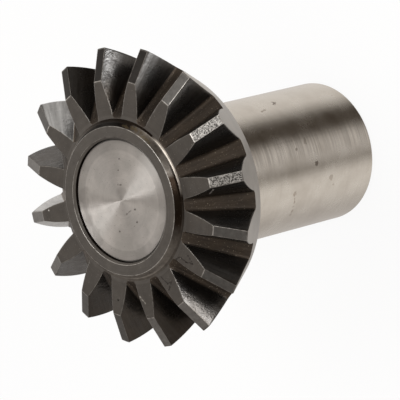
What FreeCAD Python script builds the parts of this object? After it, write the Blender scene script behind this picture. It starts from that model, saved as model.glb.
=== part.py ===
"""Differential side gear: a straight bevel gear forged in one piece with its long hub.

The gear stands on the end of its hub. The origin is the centre of that end face, +Z is the
axis and points to the small ends of the teeth, and a tooth gap is centred on +X.
All lengths are in millimetres and all angles in degrees.
"""
import FreeCAD, Part
import math
import os

import Sketcher

# Driving dimensions
SIZES = {
    # Hub and journal
    "overall_length": 106.0,
    "hub_diameter": 50.0,
    "hub_chamfer": 1.0,
    "relief_width": 3.0,
    "relief_depth": 0.4,
    # Front boss round the bore
    "boss_diameter": 52.0,
    "boss_height": 2.55,
    "boss_draft": 28.0,
    "cove_size": 0.8,
    # Blank that carries the teeth
    "toe_diameter": 82.9,
    "tip_diameter": 105.2,
    "tip_drop": 5.3,
    "heel_angle": 29.8,
    "rim_diameter": 85.5,
    "rim_chamfer": 0.6,
    # Teeth and the pinion that they mesh with
    "teeth": 16,
    "mate_teeth": 10,
    "module": 6.35,
    "apex_height": 20.55,
    "dedendum": 8.56,
    "dedendum_angle": 9.8,
    "pressure_angle": 26.0,
    "flank_radius": 30.0,
    "pitch_gap": 12.64,
    "root_bevel": 0.7,
    "cutter_overrun": 4.5,
    # Closing disc and its seat
    "plug_diameter": 43.2,
    "plug_thickness": 5.0,
    "plug_recess": 1.4,
    "plug_rim_width": 0.7,
    "plug_rim_depth": 0.45,
    "plug_chamfer": 0.6,
    "centre_diameter": 1.0,
    "centre_depth": 0.35,
    "mouth_diameter": 44.75,
    "mouth_depth": 0.8,
    # Splined bore for the half-shaft
    "spline_count": 8,
    "spline_minor": 32.0,
    "spline_major": 38.0,
    "spline_width": 6.0,
    "lead_diameter": 39.4,
    "lead_angle": 60.0,
}


class Size:
    """A value that knows its number and the sheet expression which gives that number."""

    def __init__(self, number, text):
        self.number = number
        self.text = text

    @staticmethod
    def of(value):
        """Return value as a Size, so that plain numbers can take part in formulas."""
        return value if isinstance(value, Size) else Size(value, repr(value))

    def join(self, sign, other, number):
        """Return the Size of one operation between this value and another."""
        return Size(number, f"({self.text} {sign} {Size.of(other).text})")

    def __add__(self, other):
        return self.join("+", other, self.number + Size.of(other).number)

    def __sub__(self, other):
        return self.join("-", other, self.number - Size.of(other).number)

    def __mul__(self, other):
        return self.join("*", other, self.number * Size.of(other).number)

    def __truediv__(self, other):
        return self.join("/", other, self.number / Size.of(other).number)

    def __neg__(self):
        return self * -1


def sine(angle):
    return Size(math.sin(math.radians(angle.number)), f"sin({angle.text})")


def cosine(angle):
    return Size(math.cos(math.radians(angle.number)), f"cos({angle.text})")


def tangent(angle):
    return Size(math.tan(math.radians(angle.number)), f"tan({angle.text})")


def arc_tangent(ratio):
    return Size(math.degrees(math.atan(ratio.number)), f"(atan({ratio.text}) / (1 deg))")


def square_root(value):
    return Size(math.sqrt(value.number), f"sqrt({value.text})")


def fill_sheet(doc):
    """Write the driving dimensions to the sheet and return them as named Sizes."""
    sheet = doc.addObject("Spreadsheet::Sheet", "Sizes")
    for row, (name, value) in enumerate(SIZES.items(), start=1):
        sheet.set(f"A{row}", name)
        sheet.set(f"B{row}", str(value))
        sheet.setAlias(f"B{row}", name)
    doc.recompute()
    return {name: Size(value, f"Sizes.{name}") for name, value in SIZES.items()}


def origin_feature(body, role):
    """Return the body's own origin plane or axis with the given role."""
    return next(item for item in body.Origin.OriginFeatures if item.Role == role)


def add_body(doc, label):
    body = doc.addObject("PartDesign::Body", label)
    body.Label = label
    return body


def add_sketch(body, name, role):
    """Return a new sketch that lies on one of the body's origin planes."""
    sketch = body.newObject("Sketcher::SketchObject", name)
    sketch.AttachmentSupport = (origin_feature(body, role), [""])
    sketch.MapMode = "FlatFace"
    return sketch


def bind(sketch, constraint, size):
    index = sketch.addConstraint(constraint)
    sketch.setExpression(f"Constraints[{index}]", size.text)


def pin_point(sketch, edge, end, point):
    """Hold one end of an edge at a point whose coordinates come from the sheet."""
    axes = (("DistanceX", -2), ("DistanceY", -1))
    for size, (kind, zero_axis) in zip(point, axes):
        size = Size.of(size)
        if abs(size.number) < 1e-9:
            sketch.addConstraint(Sketcher.Constraint("PointOnObject", edge, end, zero_axis))
        else:
            bind(sketch, Sketcher.Constraint(kind, -1, 1, edge, end, size.number), size)


def draw_outline(sketch, corners):
    """Draw a closed outline through corners (x, y) or (x, y, radius, turn).

    A corner with a radius starts an arc to the next corner: turn +1 goes anticlockwise.
    """
    start_ends = []
    for corner, following in zip(corners, corners[1:] + corners[:1]):
        begin = FreeCAD.Vector(Size.of(corner[0]).number, Size.of(corner[1]).number, 0)
        finish = FreeCAD.Vector(Size.of(following[0]).number, Size.of(following[1]).number, 0)
        if len(corner) == 2:
            edge = sketch.addGeometry(Part.LineSegment(begin, finish), False)
            start_ends.append((edge, 1, 2))
            continue
        radius, turn = corner[2], corner[3]
        chord = finish - begin
        rise = math.sqrt(radius.number ** 2 - (chord.Length / 2) ** 2)
        across = FreeCAD.Vector(-chord.y, chord.x, 0).normalize()
        centre = (begin + finish) * 0.5 + across * rise * turn
        first, last = (begin, finish) if turn > 0 else (finish, begin)
        angles = [math.atan2(end.y - centre.y, end.x - centre.x) for end in (first, last)]
        circle = Part.Circle(centre, FreeCAD.Vector(0, 0, 1), radius.number)
        edge = sketch.addGeometry(Part.ArcOfCircle(circle, angles[0], angles[1]), False)
        start_ends.append((edge, 1, 2) if turn > 0 else (edge, 2, 1))
        bind(sketch, Sketcher.Constraint("Radius", edge, radius.number), radius)
    for here, following in zip(start_ends, start_ends[1:] + start_ends[:1]):
        sketch.addConstraint(Sketcher.Constraint("Coincident", here[0], here[2], following[0], following[1]))
    for corner, (edge, start, _) in zip(corners, start_ends):
        pin_point(sketch, edge, start, corner[:2])


def revolve(body, kind, name, sketch):
    """Turn a sketch once round the body's axis, as a Revolution or a Groove."""
    feature = body.newObject(f"PartDesign::{kind}", name)
    feature.Profile = sketch
    feature.ReferenceAxis = (sketch, ["V_Axis"])
    feature.Angle = 360
    return feature


def repeat_round_axis(body, name, feature, count):
    pattern = body.newObject("PartDesign::PolarPattern", name)
    pattern.Originals = [feature]
    pattern.Axis = (origin_feature(body, "Z_Axis"), [""])
    pattern.Angle = 360
    pattern.setExpression("Occurrences", count.text)
    body.Tip = pattern
    return pattern


def blank_corners(dim):
    """Half section of the forged and turned blank, from the front face down to the hub end."""
    front = dim["overall_length"]
    toe_plane = front - dim["boss_height"]
    boss_radius = dim["boss_diameter"] / 2
    wall_foot = boss_radius + dim["boss_height"] * tangent(dim["boss_draft"])
    cove_top_radius = wall_foot - dim["cove_size"] * tangent(dim["boss_draft"])
    tip_radius = dim["tip_diameter"] / 2
    tip_plane = toe_plane - dim["tip_drop"]
    rim_radius = dim["rim_diameter"] / 2
    rim_plane = tip_plane - (tip_radius - rim_radius) / tangent(dim["heel_angle"])
    thrust_plane = rim_plane - dim["rim_chamfer"]
    hub_radius = dim["hub_diameter"] / 2
    relief_radius = hub_radius - dim["relief_depth"]
    relief_end = thrust_plane - dim["relief_width"]
    return [
        (0, front),
        (boss_radius, front),
        (cove_top_radius, toe_plane + dim["cove_size"]),
        (wall_foot + dim["cove_size"], toe_plane),
        (dim["toe_diameter"] / 2, toe_plane),
        (tip_radius, tip_plane),
        (rim_radius, rim_plane),
        (rim_radius - dim["rim_chamfer"], thrust_plane),
        (relief_radius, thrust_plane),
        (relief_radius, relief_end),
        (hub_radius, relief_end - dim["relief_depth"]),
        (hub_radius, dim["hub_chamfer"]),
        (hub_radius - dim["hub_chamfer"], 0),
        (0, 0),
    ]


def gap_corners(dim, scale):
    """Section of one tooth gap, square to the pitch line, at a share of the full cone distance.

    The sketch's origin is on the pitch line. Each flank is an arc that stands for the involute
    of the back cone, and a narrow bevel joins it to the flat root. The flanks shrink towards the
    pitch apex, and the root rises at its own angle, so it is a little steeper.
    """
    pitch_radius = dim["module"] * dim["teeth"] / 2
    pitch_cone = arc_tangent(dim["teeth"] / dim["mate_teeth"])
    back_cone_radius = pitch_radius / cosine(pitch_cone)
    cone_distance = pitch_radius / sine(pitch_cone)
    root_rise = cone_distance * (Size.of(1) - scale) * tangent(dim["dedendum_angle"])
    root_depth = dim["dedendum"] - root_rise
    half_gap = dim["pitch_gap"] / 2
    lean = dim["pressure_angle"] + arc_tangent(half_gap / back_cone_radius)
    flank = dim["flank_radius"] * scale
    centre_x = (half_gap + dim["flank_radius"] * cosine(lean)) * scale
    centre_y = -(dim["flank_radius"] * sine(lean) * scale)
    foot_y = dim["root_bevel"] - root_depth
    foot_x = centre_x - square_root(flank * flank - (foot_y - centre_y) * (foot_y - centre_y))
    root_x = foot_x - dim["root_bevel"]
    top_y = dim["cutter_overrun"] * scale
    top_x = centre_x - square_root(flank * flank - (top_y - centre_y) * (top_y - centre_y))
    return [
        (-root_x, -root_depth),
        (root_x, -root_depth),
        (foot_x, foot_y, flank, -1),
        (top_x, top_y),
        (-top_x, top_y, flank, -1),
        (-foot_x, foot_y),
    ]


def add_gap_section(body, name, dim, scale):
    """Draw a gap section on the plane that crosses the pitch line at a right angle.

    The flanks and the plane's place shrink together towards the pitch apex, so the straight
    lines of the flanks meet in that apex, as on a cut straight bevel gear.
    """
    sketch = add_sketch(body, name, "YZ_Plane")
    pitch_radius = dim["module"] * dim["teeth"] / 2
    apex_drop = dim["module"] * dim["mate_teeth"] / 2
    apex = dim["overall_length"] + dim["apex_height"]
    height = apex - apex_drop * scale
    outward = pitch_radius * scale
    tilt = Size.of(90) - arc_tangent(dim["teeth"] / dim["mate_teeth"])
    sketch.AttachmentOffset = FreeCAD.Placement(
        FreeCAD.Vector(0, height.number, outward.number),
        FreeCAD.Rotation(FreeCAD.Vector(1, 0, 0), tilt.number))
    sketch.setExpression("AttachmentOffset.Base.y", height.text)
    sketch.setExpression("AttachmentOffset.Base.z", outward.text)
    sketch.setExpression("AttachmentOffset.Rotation.Angle", tilt.text)
    draw_outline(sketch, gap_corners(dim, scale))
    return sketch


def cut_teeth(body, dim):
    """Cut one gap from beyond the heel to the foot of the boss, and repeat it."""
    pitch_radius = dim["module"] * dim["teeth"] / 2
    pitch_cone = arc_tangent(dim["teeth"] / dim["mate_teeth"])
    boss_foot = dim["boss_diameter"] / 2 + dim["boss_height"] * tangent(dim["boss_draft"])
    heel_scale = dim["cutter_overrun"] * sine(pitch_cone) / pitch_radius + 1
    toe_scale = boss_foot / (pitch_radius - dim["dedendum"] * cosine(pitch_cone))
    heel = add_gap_section(body, "GapAtHeel", dim, heel_scale)
    toe = add_gap_section(body, "GapAtToe", dim, toe_scale)
    gap = body.newObject("PartDesign::SubtractiveLoft", "ToothGap")
    gap.Profile = heel
    gap.Sections = [toe]
    gap.Ruled = True
    repeat_round_axis(body, "ToothGaps", gap, dim["teeth"])


def bore_corners(dim):
    """Half section of the bore: the disc's seat with its bevelled mouth, then the spline bore."""
    front = dim["overall_length"]
    seat_radius = dim["plug_diameter"] / 2
    seat_floor = front - dim["plug_recess"] - dim["plug_thickness"]
    minor_radius = dim["spline_minor"] / 2
    lead_radius = dim["lead_diameter"] / 2
    lead_depth = (lead_radius - minor_radius) / tangent(dim["lead_angle"])
    return [
        (0, front),
        (0, 0),
        (lead_radius, 0),
        (minor_radius, lead_depth),
        (minor_radius, seat_floor),
        (seat_radius, seat_floor),
        (seat_radius, front - dim["mouth_depth"]),
        (dim["mouth_diameter"] / 2, front),
    ]


def cut_splines(body, dim):
    """Broach one straight-sided groove from the hub end to the disc's seat, and repeat it."""
    sketch = add_sketch(body, "SplineGroove", "XY_Plane")
    half_width = dim["spline_width"] / 2
    major_radius = dim["spline_major"] / 2
    side_end = square_root(major_radius * major_radius - half_width * half_width)
    inner = dim["spline_minor"] / 2 - dim["spline_width"] / 4
    draw_outline(sketch, [
        (inner, -half_width),
        (side_end, -half_width, major_radius, 1),
        (side_end, half_width),
        (inner, half_width),
    ])
    groove = body.newObject("PartDesign::Pocket", "SplineSlot")
    groove.Profile = sketch
    groove.Reversed = True
    depth = dim["overall_length"] - dim["plug_recess"] - dim["plug_thickness"]
    groove.setExpression("Length", depth.text)
    repeat_round_axis(body, "SplineSlots", groove, dim["spline_count"])


def make_side_gear(doc, dim):
    """Return the gear: turned blank, teeth, disc seat and splined bore in one forging."""
    body = add_body(doc, "side_gear")
    blank = add_sketch(body, "BlankSection", "XZ_Plane")
    draw_outline(blank, blank_corners(dim))
    revolve(body, "Revolution", "Blank", blank)
    cut_teeth(body, dim)
    bore = add_sketch(body, "BoreSection", "XZ_Plane")
    draw_outline(bore, bore_corners(dim))
    revolve(body, "Groove", "Bore", bore)
    doc.recompute()
    cut_splines(body, dim)
    return body


def make_bore_plug(doc, dim):
    """Return the turned disc that is pressed into the front of the bore and closes it."""
    body = add_body(doc, "bore_plug")
    section = add_sketch(body, "PlugSection", "XZ_Plane")
    radius = dim["plug_diameter"] / 2
    face = dim["overall_length"] - dim["plug_recess"]
    back = face - dim["plug_thickness"]
    draw_outline(section, [
        (0, back),
        (radius - dim["plug_chamfer"], back),
        (radius, back + dim["plug_chamfer"]),
        (radius, face - dim["plug_rim_depth"]),
        (radius - dim["plug_rim_width"], face),
        (dim["centre_diameter"] / 2, face),
        (0, face - dim["centre_depth"]),
    ])
    revolve(body, "Revolution", "Plug", section)
    return body


def check(doc, bodies):
    """Stop if any object failed or a sub-part has no valid single solid."""
    for item in doc.Objects:
        if any(word in item.State for word in ("Invalid", "Error")):
            raise RuntimeError(f"{item.Name} failed: {item.State} {item.getStatusString()}")
    for body in bodies:
        shape = body.Shape
        if shape.isNull() or not shape.isValid() or len(shape.Solids) != 1:
            raise RuntimeError(f"{body.Label} is not one valid solid")


def main():
    doc = FreeCAD.newDocument("SideGear")
    dim = fill_sheet(doc)
    bodies = [make_side_gear(doc, dim), make_bore_plug(doc, dim)]
    doc.recompute()
    check(doc, bodies)
    os.makedirs("parts", exist_ok=True)
    for body in bodies:
        body.Shape.exportStep(f"parts/{body.Label}.step")
        box = body.Shape.BoundBox
        print(f"{body.Label}: {body.Shape.Volume / 1000:.1f} cm3, "
              f"{box.XLength:.2f} x {box.YLength:.2f} x {box.ZLength:.2f} mm, "
              f"{len(body.Shape.Faces)} faces")


main()
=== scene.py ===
"""Differential side gear in its finished steel: bevel teeth, ground hub and turned closing disc.

The gear stands on the end of its hub with +Z along its axis towards the small ends of the
teeth. Shapes are worked out in millimetres and written to the meshes in metres.
"""
import logging
import math
from collections.abc import Callable
from dataclasses import dataclass, field
from enum import IntEnum

import bmesh
import bpy
import numpy as np
from mathutils import Matrix, Vector


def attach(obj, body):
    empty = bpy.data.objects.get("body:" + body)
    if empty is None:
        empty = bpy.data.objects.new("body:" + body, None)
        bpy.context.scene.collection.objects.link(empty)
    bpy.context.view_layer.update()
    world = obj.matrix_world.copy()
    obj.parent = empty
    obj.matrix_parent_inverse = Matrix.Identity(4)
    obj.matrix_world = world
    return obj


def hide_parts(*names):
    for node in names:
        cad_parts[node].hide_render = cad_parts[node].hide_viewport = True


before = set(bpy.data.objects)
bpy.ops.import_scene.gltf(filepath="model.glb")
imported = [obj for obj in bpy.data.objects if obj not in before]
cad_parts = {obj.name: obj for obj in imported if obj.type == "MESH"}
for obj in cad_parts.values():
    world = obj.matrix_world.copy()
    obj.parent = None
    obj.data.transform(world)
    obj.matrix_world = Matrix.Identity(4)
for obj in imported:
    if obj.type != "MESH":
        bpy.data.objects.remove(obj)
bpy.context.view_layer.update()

LOG = logging.getLogger("side_gear")
METRES_PER_MM = 0.001
Point = tuple[float, float, float]
Table = tuple[tuple[float, float], ...]
Section = tuple[Point, ...]
Socket = bpy.types.NodeSocket
Value = Socket | float | tuple[float, ...]

# Heights over the hub's end, in mm: the point all tooth lines run to, the toe faces, the disc.
APEX_MM = 126.55
TOE_MM = 103.45
DISC_MM = 104.6
# Length of the pitch cone from the apex to the large ends, in mm.
CONE_MM = 59.9

# Share of the way from a sharp corner to its rounding's ends at which a quarter arc passes.
ARC_MIDDLE = 1 - math.sqrt(0.5)
# Halvings that find where a line crosses a surface, and the level at which a measure is zero.
CROSSING_HALVINGS = 40
LEVEL_HALVINGS = 50
# Points closer than this, in metres, are one point; sharper turns than this stay edges.
WELD = 2e-6
SHARP_DEGREES = 50.0

# Columns of a gap's grid that make its rounded ends: both ends, and the front end alone.
END_COLUMNS = (0, 1, -2, -1)
FRONT_COLUMNS = (-2, -1)

# Bearing (degrees from +X) and shine round the rim of the heel: a painted highlight, brightest
# between 30 and 60 degrees. Shine of the corner faces.
HEEL_HIGHLIGHT = ((0, 0.1), (30, 0.6), (60, 0.6), (150, 0.1))
CORNER_SHINE = 0.3
# Tones of the studio round the gear: softboxes, pale walls, a dim gap and a dark side.
SOFTBOX, PALE, DIM, DARK = "fffaf5", "d5d0cc", "a09a94", "504840"

# Most noise lies inside the first span, blotches are cut a little harder, marks softer.
NOISE_SPAN = (0.3, 0.7)
BLOTCH_SPAN = (0.35, 0.68)
MARK_SPAN = (0.35, 0.65)
# Depth of grain and of waves, in metres.
GRAIN_DEPTH = 0.0001
WAVE_DEPTH = 0.001
# Half width over which a band of the disc fades in, in mm, and that of a speck, in noise.
BAND_FADE_MM = 0.2
SPECK_FADE = 0.05
# Angles from its middle over which the patch of heavier lines fades out.
PATCH_FADE = (math.radians(4.0), math.radians(14.0))
# Size of the noise that shakes a mark, and its solid core, as shares of the mark's width.
MARK_NOISE = 2.5
MARK_CORE = 0.3
# Least squared length of a mark's line, in square metres, so that a dot can be divided by it.
DOT_LENGTH = 1e-9
# Turns the spread of the highlight from along the tool marks to across them.
QUARTER_TURN = 0.25
# Vector operations that give a number.
NUMBER_RESULTS = ("LENGTH", "DISTANCE", "DOT_PRODUCT")


class Region(IntEnum):
    """Part of the forging's skin, in the order of its material slots."""

    FACE = 0
    FLANK = 1
    ROOT = 2
    LAND = 3
    HEEL = 4
    EDGE = 5
    BOSS = 6
    HUB = 7
    BORE = 8
    RUBBED = 9


# Region of a turned strip of the forging: the first row that has the strip's middle between its
# two radii and above its height, in mm. Other strips are HEEL.
STRIP_REGIONS = (
    (Region.FACE, 0.0, math.inf, 105.98),
    (Region.EDGE, 25.8, math.inf, 105.7),
    (Region.EDGE, 0.0, 22.6, 105.8),
    (Region.BOSS, 22.6, math.inf, 103.4501),
    (Region.FACE, 0.0, math.inf, 103.44),
    (Region.BORE, 0.0, 22.4, 0.01),
    (Region.HUB, 24.9, 25.1, -math.inf))


@dataclass
class Patch:
    """A grid of points with the region of each cell, and the shine of each point or each cell."""

    points: np.ndarray
    region: np.ndarray
    shine: np.ndarray
    closed: bool = False


def polar(radius: np.ndarray, angle: np.ndarray, height: np.ndarray) -> np.ndarray:
    """Turn cylinder coordinates (mm, radians, mm) into points."""
    x, y = radius * np.cos(angle), radius * np.sin(angle)
    return np.stack(np.broadcast_arrays(x, y, height), -1)


def turned(points: np.ndarray, angle: float) -> np.ndarray:
    """Turn points round the Z axis by an angle in radians."""
    c, s = math.cos(angle), math.sin(angle)
    return points @ np.array([[c, s, 0.0], [-s, c, 0.0], [0.0, 0.0, 1.0]])


def radius_of(points: np.ndarray) -> np.ndarray:
    """Distance of each point from the Z axis."""
    return np.hypot(points[..., 0], points[..., 1])


def shine_round(points: np.ndarray, table: Table) -> np.ndarray:
    """Shine of points from a table of bearings round the axis (degrees) and shines."""
    bearing = np.degrees(np.arctan2(points[..., 1], points[..., 0]))
    return np.interp(bearing, *zip(*table), period=360.0)


def softened(corners: Section, steps: int = 4) -> np.ndarray:
    """Round the corners of a section by parabolas.

    A corner P between the unit directions a and b becomes P + a w (1 - t)^2 + b w t^2.

    Args:
        corners: Radius, height and rounding of each corner, in mm; 0 keeps it sharp.
        steps: Number of chords in a rounding.

    Returns:
        The section's points as an array of radius and height.
    """
    path = np.array([corner[:2] for corner in corners])
    share = np.linspace(0.0, 1.0, steps + 1)[:, None]
    made = []
    for index, (_, _, width) in enumerate(corners):
        if width == 0.0 or index in (0, len(corners) - 1):
            made.append(path[index][None])
            continue
        back, ahead = path[index - 1] - path[index], path[index + 1] - path[index]
        back, ahead = back / np.linalg.norm(back), ahead / np.linalg.norm(ahead)
        made.append(path[index] + width * (back * (1 - share) ** 2 + ahead * share ** 2))
    return np.concatenate(made)


def divided(section: np.ndarray, longest: float) -> np.ndarray:
    """Split each chord of a section so that none is too long.

    Args:
        section: Points of radius and height, in mm.
        longest: Greatest length of a chord, in mm.

    Returns:
        The section with the added points.
    """
    made = [section[:1]]
    for start, end in zip(section[:-1], section[1:]):
        count = max(1, math.ceil(np.linalg.norm(end - start) / longest))
        made.append(start + (end - start) * np.linspace(0.0, 1.0, count + 1)[1:, None])
    return np.concatenate(made)


def mesh_object(name: str, patches: list[Patch],
                corners: list[list[np.ndarray]]) -> bpy.types.Object:
    """Join grids and small corner faces into one closed mesh.

    Args:
        name: The piece's name.
        patches: Grids whose edges meet point by point.
        corners: Loops of points that each become one face.

    Returns:
        The piece, with its regions as material slots and its shine as a corner attribute.
    """
    points, faces, regions, shines, start = [], [], [], [], 0
    for patch in patches:
        rows, columns = patch.points.shape[:2]
        index = np.arange(rows * columns).reshape(rows, columns) + start
        if patch.closed:
            index = np.concatenate([index, index[:, :1]], 1)
        quads = np.stack([index[:-1, :-1], index[:-1, 1:], index[1:, 1:], index[1:, :-1]], -1)
        shape = quads.shape[:2]
        faces += quads.reshape(-1, 4).tolist()
        regions.append(np.broadcast_to(patch.region, shape).reshape(-1))
        if patch.shine.shape == (rows, columns):
            shines.append(patch.shine.reshape(-1)[quads - start].reshape(-1))
        else:
            shines.append(np.repeat(np.broadcast_to(patch.shine, shape).reshape(-1), 4))
        points.append(patch.points.reshape(-1, 3))
        start += rows * columns
    for loop in corners:
        faces.append(list(range(start, start + len(loop))))
        points.append(np.array(loop))
        start += len(loop)
    regions.append(np.full(len(corners), Region.EDGE))
    shines.append(np.full(sum(len(loop) for loop in corners), CORNER_SHINE))
    mesh = bpy.data.meshes.new(name)
    mesh.from_pydata((np.concatenate(points) * METRES_PER_MM).tolist(), [], faces)
    mesh.polygons.foreach_set("material_index", np.concatenate(regions).astype(np.int32))
    mesh.attributes.new("shine", "FLOAT", "CORNER").data.foreach_set(
        "value", np.concatenate(shines).astype(np.float32))
    joined = bmesh.new()
    joined.from_mesh(mesh)
    bmesh.ops.remove_doubles(joined, verts=joined.verts, dist=WELD)
    bmesh.ops.recalc_face_normals(joined, faces=joined.faces)
    loose = sum(1 for edge in joined.edges if not edge.is_manifold)
    joined.to_mesh(mesh)
    joined.free()
    mesh.polygons.foreach_set("use_smooth", np.ones(len(mesh.polygons), dtype=bool))
    mesh.set_sharp_from_angle(angle=math.radians(SHARP_DEGREES))
    piece = bpy.data.objects.new(name, mesh)
    bpy.context.scene.collection.objects.link(piece)
    even = piece.modifiers.new("EvenNormals", "WEIGHTED_NORMAL")
    even.keep_sharp = True
    LOG.info("%s: %d faces, %d open edges", name, len(mesh.polygons), loose)
    return piece


class Side(IntEnum):
    """Side of a tooth, seen from the small ends."""

    CLOCKWISE = 0
    COUNTER = 1


@dataclass(frozen=True)
class Gloss:
    """Shine of a flank low, half way and high on its wide half, and half way up near its toe."""

    low: float
    middle: float
    high: float
    toe: float


# Kinds of flank: under a film of oil; rubbed bright and lit, a real rubbed patch on one tooth and
# a painted reflection of the pale surround on another; with a painted highlight streak half way
# up; and dull.
OILED = Gloss(0.05, 0.1, 0.05, 0.1)
RUBBED_AND_LIT = Gloss(0.6, 0.6, 0.1, 0.6)
HIGHLIGHT_STREAK = Gloss(0.1, 0.35, 0.1, 0.1)
DULL = Gloss(0.03, 0.03, 0.03, 0.03)


@dataclass(frozen=True)
class ToothWearAndSheen:
    """How bright the teeth are made; teeth are numbered 1 to 16, clockwise from the left.

    Each surface is plain or one of a few kinds; a table holds the teeth that aren't plain. The
    brightness is partly real rubbing and partly painted highlights and painted shade, set tooth
    by tooth for the way each tooth faces the lamps.
    """

    toe: float = 0.08
    land: float = 0.1
    lands: dict[int, float] = field(default_factory=lambda: {
        **dict.fromkeys((1, 7, 8, 11, 12, 15, 16), 0.2), **dict.fromkeys((3, 4, 5), 0.02)})
    root: float = 0.05
    roots: dict[int, float] = field(default_factory=lambda: dict.fromkeys((14, 16), 0.2))
    flanks: dict[tuple[int, Side], Gloss] = field(default_factory=lambda: {
        (2, Side.CLOCKWISE): RUBBED_AND_LIT, (16, Side.CLOCKWISE): RUBBED_AND_LIT, (16, Side.COUNTER): RUBBED_AND_LIT,
        (4, Side.CLOCKWISE): HIGHLIGHT_STREAK, (5, Side.CLOCKWISE): HIGHLIGHT_STREAK,
        (12, Side.COUNTER): DULL, (13, Side.COUNTER): DULL, (14, Side.COUNTER): DULL})
    flank_levels: tuple[float, ...] = (0.29, 0.63, 0.88)
    toe_scale: float = 0.9
    toe_fade: float = 0.15
    grainy_lands: tuple[int, ...] = (7, 8)
    edge: float = 0.15
    toe_edge: float = 0.25
    worn_edge: float = 0.42
    worn_edges: tuple[tuple[int, Side], ...] = ((6, Side.CLOCKWISE), (9, Side.COUNTER))

    def flank(self, tooth: int, side: Side, level: np.ndarray, scale: np.ndarray) -> np.ndarray:
        """Shine over one flank, faded between its four values.

        Args:
            tooth: Number of the tooth, 1 to 16.
            side: The flank's side of the tooth.
            level: Height up the flank of each row, from 0 at the foot to 1 at the top.
            scale: Share of the cone distance of each point, about 0.6 at the toe to 1 at the heel.

        Returns:
            The shine of each point.
        """
        gloss = self.flanks.get((tooth, side), OILED)
        wide = np.interp(level, self.flank_levels, (gloss.low, gloss.middle, gloss.high))[:, None]
        near_toe = np.clip((self.toe_scale - scale) / self.toe_fade, 0.0, 1.0)
        return wide * (1 + (gloss.toe / gloss.middle - 1) * near_toe)


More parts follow.
